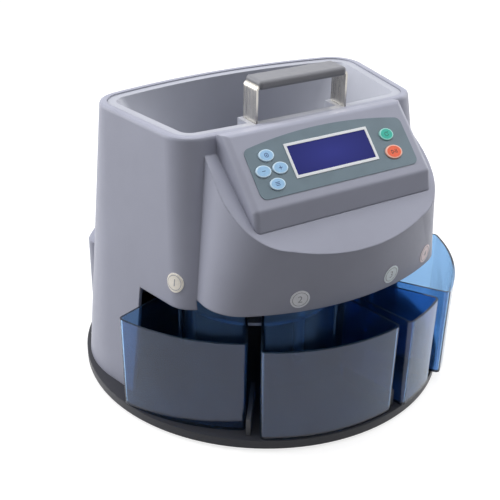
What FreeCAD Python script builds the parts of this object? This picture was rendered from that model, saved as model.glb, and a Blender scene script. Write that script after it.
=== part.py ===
import FreeCAD, Part
import math
import os
import re

from FreeCAD import Placement, Rotation, Vector

doc = FreeCAD.newDocument("coin_sorter")
sheet = doc.addObject("Spreadsheet::Sheet", "Sizes")

# Driving dimensions in millimetres and degrees; a value that starts with = is worked out from others
SIZES = {
    # Base and overall size
    "base_radius": 175,
    "base_center_y": 20,
    "back_y": 155,
    "foot_height": 3,
    "foot_radius": 9,
    "foot_edge": 35,
    "foot_ring": "=base_radius - foot_edge",
    "foot_recess": 1.5,
    "tray_thickness": 8,
    "tray_top": "=foot_height + tray_thickness",
    "wall": 3,
    "contact_gap": 0.3,
    "shaft_gap": 0.05,
    # Main housing
    "rim_height": 260,
    "rim_half_front": 125,
    "rim_half_back": 139,
    "rim_front_y": -45,
    "rim_back_y": 110,
    "rim_front_bow": 2000,
    "rim_back_bow": 550,
    "rim_front_corner": 26,
    "rim_back_corner": 30,
    "rim_width": 7,
    "rim_depth": 8,
    "rim_round": 2.5,
    "skirt_step": 8,
    "skirt_taper": 31,
    "skirt_half_front": "=base_radius - skirt_taper",
    "skirt_half_back": "=base_radius - skirt_step",
    "skirt_front_y": -85,
    "skirt_back_y": 140,
    "skirt_bow": 2000,
    "skirt_front_corner": 25,
    "skirt_back_corner": 92,
    "opening_top": 125,
    "opening_angle": 80.5,
    "opening_side_top": 116,
    "rear_step": 4,
    "rear_radius": "=base_radius - rear_step",
    "rear_front_y": 100,
    "rear_top": 110,
    "rear_corner": 12,
    # Front apron and its sloped shelf
    "apron_drop": 15,
    "apron_top": "=rim_height - apron_drop",
    "apron_half_low": 119,
    "apron_half_high": 101,
    "apron_front_low": -128,
    "apron_front_high": -146,
    "apron_bow": 225,
    "apron_corner_low": 38,
    "apron_corner_high": 78,
    "shelf_wall_y": -50,
    "shelf_drop": 19,
    "shelf_wall_z": "=rim_height - shelf_drop",
    "shelf_rate": 0.75,
    # Console and control panel
    "console_half": 90,
    "panel_top_y": -57,
    "panel_rise": 3.5,
    "panel_top_z": "=rim_height + panel_rise",
    "panel_length": 67,
    "panel_tilt": 45,
    "console_lean": 4,
    "console_sink": 4.5,
    "console_nose": 0.4,
    "console_round": 5,
    "overlay_half": 79.5,
    "overlay_low": -25.5,
    "overlay_side": 18.5,
    "overlay_arch": 26.5,
    "overlay_corner": 6,
    "overlay_thickness": 0.5,
    "screen_width": 84,
    "screen_height": 31,
    "screen_up": 1.3,
    "frame_width": 2.4,
    "frame_thickness": 0.9,
    "window_thickness": 0.6,
    "window_ledge": 1,
    "module_thickness": 8,
    "module_margin": 4,
    "board_thickness": 1.6,
    "board_margin": 7,
    "board_length": "=2 * (console_half - wall - board_margin)",
    "board_width": 50,
    "key_height": 1.6,
    "key_travel": 0.8,
    "key_gap": 0.3,
    "key_stem": 4.5,
    "switch_size": 6,
    "switch_play": 0.1,
    "switch_gap": "=key_travel + switch_play",
    "pad_x": -61,
    "pad_y": -2.3,
    "pad_across": 8,
    "pad_up": 12.7,
    "pad_half_width": 7.2,
    "pad_half_height": 5.3,
    "side_key_x": 59,
    "clear_y": 5.8,
    "clear_half_height": 5.6,
    "start_y": -11,
    "start_half_width": 8.7,
    "start_half_height": 6.4,
    # Hopper and carrying handle
    "hopper_drop": 1,
    "hopper_wall": 2.5,
    "flange_width": 8,
    "flange_depth": 3,
    "plate_top": 152,
    "throat_radius": 68,
    "throat_rise": 4,
    "throat_z": "=plate_top + throat_rise",
    "rotor_y": 34,
    "handle_half": 45.5,
    "strap_width": 20,
    "strap_thickness": 2,
    "handle_rise": 32,
    "strap_top": "=rim_height + handle_rise",
    "strap_bend": 5,
    "strap_reach": 46,
    "strap_foot": "=rim_height - strap_reach",
    "guide_inset": 1.2,
    "guide_width": 11,
    "guide_depth": 24,
    "guide_length": 40,
    "guide_lift": 12,
    "guide_foot": "=throat_z + guide_lift",
    "guide_clear": 0.2,
    "grip_width": 24,
    "grip_height": 8,
    "grip_cover": 3.5,
    "grip_end": 1.5,
    "grip_round": 3,
    "pin_radius": 1.5,
    "pin_length": 7,
    # Feed disc, drive and chassis
    "plate_thickness": 4,
    "plate_radius": 78,
    "disc_radius": 63.5,
    "disc_thickness": 5,
    "disc_lift": 0.5,
    "pocket_count": 6,
    "pocket_radius": 13,
    "pocket_ring": 45,
    "knob_radius": 17,
    "knob_tip": 6,
    "knob_height": 20,
    "shaft_radius": 4,
    "bush_radius": 7,
    "bush_flange": 10,
    "flange_thickness": 2,
    "chassis_z": 60,
    "chassis_thickness": 3,
    "chassis_radius": 80,
    "post_radius": 5,
    "post_ring": 70,
    "gear_module": 1.5,
    "gear_teeth": 40,
    "pinion_teeth": 12,
    "gear_width": 10,
    "gear_z": "=chassis_z + chassis_thickness + flange_thickness + contact_gap",
    "mesh_play": 0.15,
    "motor_radius": 19,
    "motor_length": 44,
    "motor_boss": 7,
    "motor_shaft_radius": 3,
    "motor_shaft_grip": 10,
    "motor_screw_ring": 15,
    "screw_radius": 1.5,
    "screw_head": 2.75,
    "screw_head_height": 2,
    "screw_length": 9,
    "clip_radius": 7,
    "clip_thickness": 2,
    "slot_step": 2,
    "chute_width": 28,
    "chute_floor": 2,
    "chute_side": 9,
    "chute_start": 46,
    "chute_end": 112,
    "chute_low": 108,
    "sensor_length": 40,
    "sensor_width": 14,
    "sensor_height": 4,
    # Power entry at the back
    "power_board_width": 100,
    "power_board_height": 60,
    "power_board_y": 134,
    "transformer_width": 44,
    "transformer_depth": 15,
    "transformer_height": 36,
    "inlet_x": -45,
    "switch_x": 10,
    "entry_z": 45,
    "inlet_width": 30,
    "inlet_height": 22,
    "inlet_depth": 16,
    "blade_spacing": 7,
    "blade_thickness": 2,
    "blade_height": 4,
    "switch_width": 20,
    "switch_height": 26,
    "switch_depth": 14,
    "entry_flange": 2,
    "flange_lip": 3,
    "rocker_radius": 8,
    "rocker_width": 13,
    "rocker_tip": 8,
    "trunnion_radius": 1.2,
    # Drawers
    "drawer_rim": 100,
    "drawer_floor": "=tray_top + contact_gap",
    "drawer_set": 1,
    "drawer_front": "=base_radius - drawer_set",
    "drawer_depth": 76,
    "drawer_back": "=drawer_front - drawer_depth",
    "drawer_wall": 2,
    "drawer_corner": 5,
    "drawer_draft": 1,
    "pull_1": -4.5,
    "pull_2": 0,
    "pull_3": 3,
    "pull_4": 9.7,
    "rail_inset": 14,
    "rail_start": "=drawer_back + rail_inset",
    "rail_short": 6,
    "rail_end": "=drawer_front - rail_short",
    "rail_width": 4,
    "rail_height": 16,
    "label_radius": 8.5,
    "label_thickness": 0.35,
    "label_z": 138,
}

for row, (alias, value) in enumerate(SIZES.items(), start=1):
    sheet.set(f"A{row}", alias)
    sheet.set(f"B{row}", str(value))
    sheet.setAlias(f"B{row}", alias)
doc.recompute()

# Each drawer spans two angles, measured from the front towards +X; it stands at its own pull and turn
DRAWERS = {
    "coin_drawer_1": (-79.5, -39.4, "pull_1", 8.5),
    "coin_drawer_2": (-33.2, 10.5, "pull_2", 0),
    "coin_drawer_3": (13.5, 31.5, "pull_3", 0),
    "coin_drawer_4": (34.0, 75.2, "pull_4", 0),
}

# Directions of the coin labels seen from the middle of the base
LABEL_ANGLES = (-63, -21.5, 13.5, 33)

# Directions of the feet seen from the middle of the base
FOOT_ANGLES = (-45, 45, 128, -128)

# Directions of the chassis posts seen from the rotor, clear of the chutes
POST_ANGLES = (5.25, 98, 180, -98)

# Corners of one gear tooth: share of the pitch from its middle, and modules out from the pitch circle
TOOTH_CORNERS = ((-0.27, -1.25), (-0.12, 0.9), (0.12, 0.9), (0.27, -1.25))

pieces = []


def size(alias):
    """One value from the sheet as a plain number."""
    return float(sheet.get(alias))


def cells(text):
    """The same formula with each alias written as a cell of the sheet."""
    return re.sub(r"[a-z_]+", lambda word: "Sizes." + word.group(), text)


def bind(item, **formulas):
    """Tie properties of an object to formulas on the sheet."""
    for name, formula in formulas.items():
        item.setExpression(name, cells(formula))


def place(item, x, y, z):
    """Tie the position of an object to formulas on the sheet."""
    for axis, formula in zip("xyz", (x, y, z)):
        item.setExpression("Placement.Base." + axis, cells(formula))


def box(name, length, width, height, x, y, z):
    """A block centred on x and y that stands on z."""
    item = doc.addObject("Part::Box", name)
    bind(item, Length=length, Width=width, Height=height)
    place(item, f"({x}) - ({length}) / 2", f"({y}) - ({width}) / 2", z)
    return item


def cylinder(name, radius, height, x, y, z):
    """An upright round bar that stands on z."""
    item = doc.addObject("Part::Cylinder", name)
    bind(item, Radius=radius, Height=height)
    place(item, x, y, z)
    return item


def fuse(name, *solids):
    """Several solids joined into one."""
    item = doc.addObject("Part::MultiFuse", name)
    item.Shapes = list(solids)
    return item


def cut(name, base, *tools):
    """One solid with others taken out of it."""
    item = doc.addObject("Part::Cut", name)
    item.Base = base
    item.Tool = tools[0] if len(tools) == 1 else fuse(name + "_tools", *tools)
    return item


def group(name, *solids):
    """Like pieces kept apart as separate solids of one node."""
    item = doc.addObject("Part::Compound", name)
    item.Links = list(solids)
    return item


def feature(name, shape, placement=Placement()):
    """A piece whose form is worked out with curves."""
    item = doc.addObject("Part::Feature", name)
    item.Shape = shape
    item.Placement = placement
    return item


def piece(item):
    """Note an object as one of the pieces to write."""
    item.Label = item.Name
    pieces.append(item)
    return item


def polar(angle, radius, z=0.0, center_y=None):
    """A point at an angle from the front, round the middle of the base or of the rotor."""
    turn = math.radians(angle)
    middle = size("base_center_y") if center_y is None else center_y
    return Vector(radius * math.sin(turn), middle - radius * math.cos(turn), z)


def arc(start, middle, end):
    """A round stretch through three points."""
    return Part.Arc(start, middle, end).toShape()


def line(start, end):
    """A straight stretch between two points."""
    return Part.LineSegment(start, end).toShape()


def corner(start, end, center, radius):
    """A rounded corner about its own centre."""
    middle = center + ((start + end) / 2 - center).normalize() * radius
    return arc(start, middle, end)


def mirrored(point):
    """The same point on the other side of the machine."""
    return Vector(-point.x, point.y, point.z)


def closed_plan(
    front, front_mid, front_corner, side_low, side_mid, side_high, back_corner, back, back_mid, radii
):
    """An outline that is alike left and right, from the points of its right half."""
    right = [
        corner(front, side_low, front_corner, radii[0]),
        arc(side_low, side_mid, side_high) if side_mid else line(side_low, side_high),
        corner(side_high, back, back_corner, radii[1]),
    ]
    left = [
        corner(mirrored(back), mirrored(side_high), mirrored(back_corner), radii[1]),
        arc(mirrored(side_high), mirrored(side_mid), mirrored(side_low))
        if side_mid
        else line(mirrored(side_high), mirrored(side_low)),
        corner(mirrored(side_low), mirrored(front), mirrored(front_corner), radii[0]),
    ]
    first = arc(mirrored(front), front_mid, front) if front_mid else line(mirrored(front), front)
    last = arc(back, back_mid, mirrored(back)) if back_mid else line(back, mirrored(back))
    return Part.Wire([first] + right + [last] + left)


def bowed_plan(halves, front, back, front_bow, back_bow, front_corner, back_corner, z):
    """Straight sides, with a front and a back that bow outwards and rounded corners."""
    front_half, back_half = halves
    front_middle = Vector(0, front + front_bow, z)
    back_middle = Vector(0, back - back_bow, z)
    rise = math.sqrt((front_bow - front_corner) ** 2 - (front_half - front_corner) ** 2)
    low = Vector(front_half - front_corner, front_middle.y - rise, z)
    rise = math.sqrt((back_bow - back_corner) ** 2 - (back_half - back_corner) ** 2)
    high = Vector(back_half - back_corner, back_middle.y + rise, z)
    along = high - low
    turn = math.asin((front_corner - back_corner) / along.Length)
    along.normalize()
    outward = Vector(along.y, -along.x, 0) * math.cos(turn) + along * math.sin(turn)
    return closed_plan(
        front_middle + (low - front_middle) * (front_bow / (front_bow - front_corner)),
        Vector(0, front, z),
        low,
        low + outward * front_corner,
        None,
        high + outward * back_corner,
        high,
        back_middle + (high - back_middle) * (back_bow / (back_bow - back_corner)),
        Vector(0, back, z),
        (front_corner, back_corner),
    )


def round_plan(radius, front, back, rounding, z):
    """A circle about the middle of the base, cut straight at the front and the back."""
    middle = Vector(0, size("base_center_y"), z)

    def inner_corner(y):
        reach = math.sqrt((radius - rounding) ** 2 - (y - middle.y) ** 2)
        return Vector(reach, y, z)

    low = inner_corner(front + rounding)
    high = inner_corner(back - rounding)
    outward = radius / (radius - rounding)
    return closed_plan(
        Vector(low.x, front, z),
        None,
        low,
        middle + (low - middle) * outward,
        middle + ((low + high) / 2 - middle).normalize() * radius,
        middle + (high - middle) * outward,
        high,
        Vector(high.x, back, z),
        None,
        (rounding, rounding),
    )


def rim_plan(inset, z):
    """The outline of the rim, drawn in by an inset."""
    return bowed_plan(
        (size("rim_half_front") - inset, size("rim_half_back") - inset),
        size("rim_front_y") + inset,
        size("rim_back_y") - inset,
        size("rim_front_bow") - inset,
        size("rim_back_bow") - inset,
        size("rim_front_corner") - inset,
        size("rim_back_corner") - inset,
        z,
    )


def skirt_plan(inset, z):
    """The outline of the housing's foot, drawn in by an inset."""
    return bowed_plan(
        (size("skirt_half_front") - inset, size("skirt_half_back") - inset),
        size("skirt_front_y") + inset,
        size("skirt_back_y") - inset,
        size("skirt_bow") - inset,
        size("skirt_bow") - inset,
        size("skirt_front_corner") - inset,
        size("skirt_back_corner") - inset,
        z,
    )


def apron_plan(level, inset, z):
    """The outline of the apron at its low or its high end; its back lies inside the housing."""
    half = size("apron_half_" + level) - inset
    return bowed_plan(
        (half, half),
        size("apron_front_" + level) + inset,
        size("base_center_y"),
        size("apron_bow") - inset,
        size("rim_front_bow"),
        size("apron_corner_" + level) - inset,
        size("rim_front_corner"),
        z,
    )


def loft(low, high):
    """A straight-sided solid between two outlines."""
    return Part.makeLoft([low, high], True, True)


def prism(wire, height):
    """An outline raised straight up."""
    return Part.Face(wire).extrude(Vector(0, 0, height))


def wedge(angle_from, angle_to, radius, z, height):
    """A slice of the machine between two angles."""
    middle = Vector(0, size("base_center_y"), z)
    start = polar(angle_from, radius, z)
    end = polar(angle_to, radius, z)
    far = polar((angle_from + angle_to) / 2, radius, z)
    return prism(Part.Wire([line(middle, start), arc(start, far, end), line(end, middle)]), height)


def shelf_z(y):
    """Height of the sloped shelf at a distance from front to back."""
    return size("shelf_wall_z") + size("shelf_rate") * (y - size("shelf_wall_y"))


def side_profile(points, half):
    """An outline in Y and Z drawn out to both sides."""
    corners = [Vector(-half, y, z) for y, z in points]
    return Part.Face(Part.makePolygon(corners + corners[:1])).extrude(Vector(2 * half, 0, 0))


def above_shelf(drop):
    """Everything above the sloped shelf, moved down by a drop."""
    front = 2 * size("apron_front_high")
    back = size("base_center_y")
    top = 2 * size("rim_height")
    outline = [(front, shelf_z(front) - drop), (back, shelf_z(back) - drop), (back, top), (front, top)]
    return side_profile(outline, size("base_radius"))


# Main housing: tapered walls, front apron and round back in one moulding, open below and at the rim
def housing_solid():
    """The housing without its hollow."""
    bevel = size("rim_round")
    ease = bevel * (1 - math.sqrt(0.5))
    top = size("rim_height")
    body = loft(skirt_plan(0, size("tray_top")), rim_plan(0, top - bevel))
    body = body.fuse(loft(rim_plan(0, top - bevel), rim_plan(ease, top - ease)))
    body = body.fuse(loft(rim_plan(ease, top - ease), rim_plan(bevel, top)))
    apron = loft(
        apron_plan("low", 0, size("opening_top")),
        apron_plan("high", 0, size("apron_top")),
    ).cut(above_shelf(0))
    return body.fuse(apron).fuse(rear_box(0)).removeSplitter()


def rear_plan(inset, z):
    """The outline of the part at the back that carries the power entry, as round as the base."""
    return round_plan(
        size("rear_radius") - inset,
        size("rear_front_y") + inset,
        size("back_y") - size("entry_flange") - inset,
        size("rear_corner") - inset,
        z,
    )


def rear_box(inset):
    """The upright part at the back, drawn in by an inset."""
    low = size("tray_top") - (size("contact_gap") if inset else 0)
    return prism(rear_plan(inset, low), size("rear_top") - inset - low)


def housing_hollow():
    """The space inside the housing, up to the flange under the rim."""
    wall = size("wall")
    inner = loft(skirt_plan(wall, size("tray_top")), rim_plan(wall, size("rim_height")))
    reach = 2 * size("base_radius")
    flange_low = size("rim_height") - size("rim_depth")
    below_rim = Part.makeBox(2 * reach, 2 * reach, flange_low, Vector(-reach, -reach, 0))
    apron = loft(
        apron_plan("low", wall, size("opening_top")),
        apron_plan("high", wall, size("apron_top")),
    ).cut(above_shelf(wall))
    mouth = prism(rim_plan(size("rim_width"), flange_low - size("rim_depth")), 3 * size("rim_depth"))
    return inner.common(below_rim).fuse(apron).fuse(mouth).fuse(rear_box(wall))


def drawer_opening():
    """The space for the drawers: a slice under the side walls, and higher up under the apron."""
    angle = size("opening_angle")
    side_top = size("opening_side_top")
    under_apron = prism(apron_plan("low", 0, side_top), size("opening_top") - side_top)
    return wedge(-angle, angle, 2 * size("base_radius"), 0, side_top).fuse(under_apron)


def entry_hole(x, width, height):
    """A square hole through the back wall."""
    corner_at = Vector(x - width / 2, size("skirt_back_y") - size("wall"), size("entry_z") - height / 2)
    return Part.makeBox(width, size("back_y"), height, corner_at)


housing_outer = housing_solid()
housing_shape = housing_outer.cut(housing_hollow()).cut(drawer_opening())
housing_shape = housing_shape.cut(entry_hole(size("inlet_x"), size("inlet_width"), size("inlet_height")))
housing_shape = housing_shape.cut(entry_hole(size("switch_x"), size("switch_width"), size("switch_height")))
piece(feature("main_housing", housing_shape))

# Base tray, feet, screws and the rails that keep the drawers apart
tray_middle = Vector(0, size("base_center_y"), size("foot_height"))
tray = Part.makeCylinder(size("base_radius"), size("tray_thickness"), tray_middle)
tray_back = size("back_y") - size("entry_flange")
reach = 2 * size("base_radius")
tray = tray.cut(Part.makeBox(2 * reach, reach, reach, Vector(-reach, tray_back, 0)))
foot_spots = [polar(angle, size("foot_ring"), 0) for angle in FOOT_ANGLES]
screw_spots = [polar(angle, size("post_ring"), 0, size("rotor_y")) for angle in POST_ANGLES]


def bar(spot, radius, z, height):
    """An upright round bar at a spot."""
    return Part.makeCylinder(radius, height, Vector(spot.x, spot.y, z))


def screw(spot, seat, length, up):
    """A screw whose head bears on a seat; up is 1 where the head is on top."""
    head_z = seat if up > 0 else seat - size("screw_head_height")
    shank_z = seat - length if up > 0 else seat
    head = bar(spot, size("screw_head"), head_z, size("screw_head_height"))
    return head.fuse(bar(spot, size("screw_radius"), shank_z, length)).removeSplitter()


for spot in foot_spots:
    tray = tray.cut(bar(spot, size("foot_radius"), 0, size("foot_height") + size("foot_recess")))
for spot in screw_spots:
    tray = tray.cut(bar(spot, size("screw_head"), 0, size("foot_height") + size("screw_head_height")))
    tray = tray.cut(bar(spot, size("screw_radius"), 0, size("tray_top")))
piece(feature("base_tray", tray.removeSplitter()))
feet = [bar(spot, size("foot_radius"), 0, size("foot_height") + size("foot_recess")) for spot in foot_spots]
piece(feature("rubber_feet", Part.Compound(feet)))
seat_z = size("foot_height") + size("screw_head_height")
screws = [screw(spot, seat_z, size("screw_length"), -1) for spot in screw_spots]
piece(feature("base_screws", Part.Compound(screws)))

spans = list(DRAWERS.values())
rails = []
for left, right in zip(spans, spans[1:]):
    turn = (left[1] + right[0]) / 2
    half = size("rail_width") / 2
    rail = Part.makeBox(
        size("rail_width"),
        size("rail_end") - size("rail_start"),
        size("rail_height"),
        Vector(-half, -size("rail_end"), size("tray_top")),
    )
    rail.Placement = Placement(Vector(0, size("base_center_y"), 0), Rotation(Vector(0, 0, 1), turn))
    rails.append(rail)
piece(feature("drawer_rails", Part.Compound(rails)))


# Console: a hollow wedge that stands on the shelf and carries the panel
def pad_key(across, up):
    """Centre, half width and half height of one key of the pad on the left."""
    x = size("pad_x") + across * size("pad_across")
    y = size("pad_y") + up * size("pad_up")
    return x, y, size("pad_half_width"), size("pad_half_height")


KEYS = {
    "key_menu": pad_key(0, 1),
    "key_minus": pad_key(-1, 0),
    "key_plus": pad_key(1, 0),
    "key_batch": pad_key(0, -1),
    "key_clear": (size("side_key_x"), size("clear_y"), size("pad_half_width"), size("clear_half_height")),
    "key_start": (size("side_key_x"), size("start_y"), size("start_half_width"), size("start_half_height")),
}
tilt = math.radians(size("panel_tilt"))
panel_down = (-math.cos(tilt) * size("panel_length"), -math.sin(tilt) * size("panel_length"))
panel_low = (size("panel_top_y") + panel_down[0], size("panel_top_z") + panel_down[1])
panel_turn = Rotation(Vector(1, 0, 0), size("panel_tilt"))
panel_middle = Vector(0, size("panel_top_y") + panel_down[0] / 2, size("panel_top_z") + panel_down[1] / 2)
panel_place = Placement(panel_middle, panel_turn)


def console_solid(inset):
    """The console's wedge, drawn in by an inset, running down into the shelf."""
    up = inset / math.sin(tilt)
    nose = inset * size("console_nose")
    sink = size("console_sink")
    front = panel_low[0] - size("console_lean") + inset
    outline = [
        (size("rim_front_y"), size("panel_top_z") - up - size("console_lean") / 2),
        (size("panel_top_y"), size("panel_top_z") - up),
        (panel_low[0] + nose, panel_low[1] - up + nose),
        (front, shelf_z(front) - sink),
        (size("rim_front_y"), shelf_z(size("rim_front_y")) - sink),
    ]
    return side_profile(outline, size("console_half") - inset)


def panel_block(width, height, middle, low, high):
    """A block in the panel's own frame: X to the right, Y up the slope, Z out of the panel."""
    corner_at = Vector(middle[0] - width / 2, middle[1] - height / 2, low)
    return Part.makeBox(width, height, high - low, corner_at)


def panel_oval(half_width, half_height, middle, low, high):
    """An oval block in the panel's own frame."""
    oval = Part.Ellipse(Vector(middle[0], middle[1], low), half_width, half_height).toShape()
    return Part.Face(Part.Wire([oval])).extrude(Vector(0, 0, high - low))


def on_panel(shape):
    """A shape moved from the panel's frame to the machine's."""
    moved = shape.copy()
    moved.Placement = panel_place.multiply(moved.Placement)
    return moved


def outer_edge(edge):
    """Whether an edge of the console lies clear of the rim's wall and is not its foot at the front."""
    slack = size("contact_gap")
    clear = all(vertex.Y < size("rim_front_y") - slack for vertex in edge.Vertexes)
    foot = edge.BoundBox.YLength < slack and edge.BoundBox.ZMax < panel_low[1] - slack
    return clear and not foot


console = console_solid(0)
sharp = [edge for edge in console.Edges if outer_edge(edge)]
console = console.makeFillet(size("console_round"), sharp).cut(console_solid(size("wall"))).cut(housing_outer)
ledge = 2 * (size("frame_width") + size("window_ledge"))
screen_at = (0, size("screen_up"))
window_hole = panel_block(
    size("screen_width") - ledge, size("screen_height") - ledge, screen_at, -2 * size("wall"), size("wall")
)
console = console.cut(on_panel(window_hole))
for x, y, half_width, half_height in KEYS.values():
    gap = size("key_gap")
    hole = panel_oval(half_width + gap, half_height + gap, (x, y), -2 * size("wall"), size("wall"))
    console = console.cut(on_panel(hole))
piece(feature("console_housing", console.removeSplitter()))

# Printed overlay with an arched top, open at the screen and the keys
half = size("overlay_half")
sides = [
    line(Vector(-half, size("overlay_low"), 0), Vector(half, size("overlay_low"), 0)),
    line(Vector(half, size("overlay_low"), 0), Vector(half, size("overlay_side"), 0)),
    arc(
        Vector(half, size("overlay_side"), 0),
        Vector(0, size("overlay_arch"), 0),
        Vector(-half, size("overlay_side"), 0),
    ),
    line(Vector(-half, size("overlay_side"), 0), Vector(-half, size("overlay_low"), 0)),
]
overlay = prism(Part.Wire(sides), size("overlay_thickness"))
upright = [edge for edge in overlay.Edges if edge.BoundBox.ZLength > size("overlay_thickness") / 2]
overlay = overlay.makeFillet(size("overlay_corner"), upright)
frame_outer = panel_block(size("screen_width"), size("screen_height"), screen_at, 0, size("frame_thickness"))
overlay = overlay.cut(frame_outer)
for x, y, half_width, half_height in KEYS.values():
    gap = size("key_gap")
    overlay = overlay.cut(panel_oval(half_width + gap, half_height + gap, (x, y), 0, size("wall")))
piece(feature("control_overlay", overlay, panel_place))

# Screen: pale frame, blue window and the module behind it
rim = 2 * size("frame_width")
window_size = (size("screen_width") - rim, size("screen_height") - rim)
frame_inner = panel_block(*window_size, screen_at, 0, size("frame_thickness"))
piece(feature("screen_frame", frame_outer.cut(frame_inner), panel_place))
window = panel_block(*window_size, screen_at, 0, size("window_thickness"))
piece(feature("display_window", window, panel_place))
module_low = -size("wall") - size("module_thickness")
module = panel_block(
    size("screen_width") + size("module_margin"),
    size("screen_height") + size("module_margin"),
    screen_at,
    module_low,
    -size("wall"),
)
piece(feature("display_module", module, panel_place))

# Control board with one switch under each key
board_top = module_low
board_low = board_top - size("board_thickness")
board = panel_block(size("board_length"), size("board_width"), (0, 0), board_low, board_top)
piece(feature("control_board", board, panel_place))
switches = []
for x, y, half_width, half_height in KEYS.values():
    top = -size("key_stem") - size("switch_gap")
    switches.append(panel_block(size("switch_size"), size("switch_size"), (x, y), board_top, top))
piece(feature("key_switches", Part.Compound(switches), panel_place))
for name, (x, y, half_width, half_height) in KEYS.items():
    cap = panel_oval(half_width, half_height, (x, y), -size("key_stem"), size("key_height"))
    crown = [edge for edge in cap.Edges if edge.BoundBox.ZMin > size("key_height") / 2]
    piece(feature(name, cap.makeFillet(size("key_height") / 2, crown), panel_place))

# Hopper: a flange inside the rim and sloped walls down to a round throat over the feed disc
rotor_y = size("rotor_y")


def throat_plan(around, radius, z):
    """A circle in eight stretches that face the stretches of another outline."""
    turns = [math.atan2(point.Y - rotor_y, point.X) for point in around.OrderedVertexes]
    spots = []
    for index, turn in enumerate(turns):
        following = turns[(index + 1) % len(turns)]
        if following < turn:
            following += 2 * math.pi
        spots.append((turn, (turn + following) / 2, following))

    def on_circle(turn):
        return Vector(radius * math.cos(turn), rotor_y + radius * math.sin(turn), z)

    return Part.Wire([arc(*[on_circle(turn) for turn in stretch]) for stretch in spots])


hopper_edge = size("rim_width") + size("contact_gap")
hopper_top = size("rim_height") - size("hopper_drop")


def hopper_solid(inset):
    """The hopper's funnel, drawn in by an inset."""
    mouth = rim_plan(hopper_edge + size("flange_width") - size("hopper_wall") + inset, hopper_top)
    return loft(throat_plan(mouth, size("throat_radius") - inset, size("throat_z")), mouth)


guide_front = size("rim_front_y") + size("rim_width") + size("guide_inset")


def guide_block(side, margin):
    """The boss that takes one leg of the handle, longer towards the front by a margin."""
    left = side * size("handle_half") - size("guide_width") / 2
    height = hopper_top - size("guide_foot")
    corner_at = Vector(left, guide_front - margin, size("guide_foot"))
    return Part.makeBox(size("guide_width"), size("guide_depth") + margin, height, corner_at)


collar_z = size("plate_top")
collar_height = size("throat_z") - collar_z
rotor_spot = Vector(0, rotor_y, 0)
collar = bar(rotor_spot, size("throat_radius"), collar_z, collar_height)
collar = collar.cut(bar(rotor_spot, size("throat_radius") - size("hopper_wall"), collar_z, collar_height))
flange = prism(rim_plan(hopper_edge, hopper_top - size("flange_depth")), size("flange_depth"))
hopper = hopper_solid(0).fuse(flange).cut(hopper_solid(size("hopper_wall"))).fuse(collar)
for side in (-1, 1):
    hopper = hopper.cut(guide_block(side, size("rim_width")))
piece(feature("hopper", hopper.removeSplitter()))

# Carrying handle: strap bent into a U, grip, guides and stop pins
strap_y = guide_front + size("guide_depth") / 2


def strap_outline(half, top, bend, foot):
    """A U upside down with rounded bends, drawn in X and Z."""
    inner = half - bend
    step = bend * (1 - math.sqrt(0.5))
    stretches = [
        line(Vector(-half, 0, foot), Vector(-half, 0, top - bend)),
        arc(Vector(-half, 0, top - bend), Vector(-half + step, 0, top - step), Vector(-inner, 0, top)),
        line(Vector(-inner, 0, top), Vector(inner, 0, top)),
        arc(Vector(inner, 0, top), Vector(half - step, 0, top - step), Vector(half, 0, top - bend)),
        line(Vector(half, 0, top - bend), Vector(half, 0, foot)),
        line(Vector(half, 0, foot), Vector(-half, 0, foot)),
    ]
    return Part.Face(Part.Wire(stretches))


def strap_solid(width):
    """The strap as a solid of some width."""
    thick = size("strap_thickness")
    half = size("handle_half") + thick / 2
    top = size("strap_top")
    bend = size("strap_bend")
    outer = strap_outline(half, top, bend, size("strap_foot"))
    inner = strap_outline(half - thick, top - thick, bend - thick, size("strap_foot"))
    solid = outer.cut(inner).extrude(Vector(0, width, 0))
    solid.translate(Vector(0, strap_y - width / 2, 0))
    return solid


strap = strap_solid(size("strap_width"))
chamber_top = hopper_top - size("guide_length")
pin_z = chamber_top - size("pin_radius") - size("contact_gap")


def stop_pin(side):
    """A cross pin through the foot of one leg, under its guide."""
    start = Vector(side * size("handle_half") - size("pin_length") / 2, strap_y, pin_z)
    return Part.makeCylinder(size("pin_radius"), size("pin_length"), start, Vector(1, 0, 0))


pins = [stop_pin(-1), stop_pin(1)]
for pin in pins:
    strap = strap.cut(pin)
piece(feature("handle_strap", strap))
piece(feature("handle_stop_pins", Part.Compound(pins)))
guides = []


def guide_space(side, width, top):
    """The space inside a guide, as deep as the strap is wide."""
    depth = size("strap_width") + 2 * size("guide_clear")
    corner_at = Vector(side * size("handle_half") - width / 2, strap_y - depth / 2, size("guide_foot"))
    return Part.makeBox(width, depth, top - size("guide_foot"), corner_at)


for side in (-1, 1):
    slot = guide_space(side, size("strap_thickness") + 2 * size("guide_clear"), size("rim_height"))
    chamber = guide_space(side, size("pin_length") + 2 * size("contact_gap"), chamber_top)
    guides.append(guide_block(side, 0).cut(slot).cut(chamber))
piece(feature("handle_guides", Part.Compound(guides)))
grip_low = size("strap_top") + size("grip_cover") - size("grip_height")
grip_length = 2 * (size("handle_half") - size("grip_end"))
grip = Part.makeBox(
    grip_length,
    size("grip_width"),
    size("grip_height"),
    Vector(-grip_length / 2, strap_y - size("grip_width") / 2, grip_low),
)
grip = grip.makeFillet(size("grip_round"), grip.Edges).cut(strap_solid(size("strap_width")))
piece(feature("handle_grip", grip))

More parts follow.
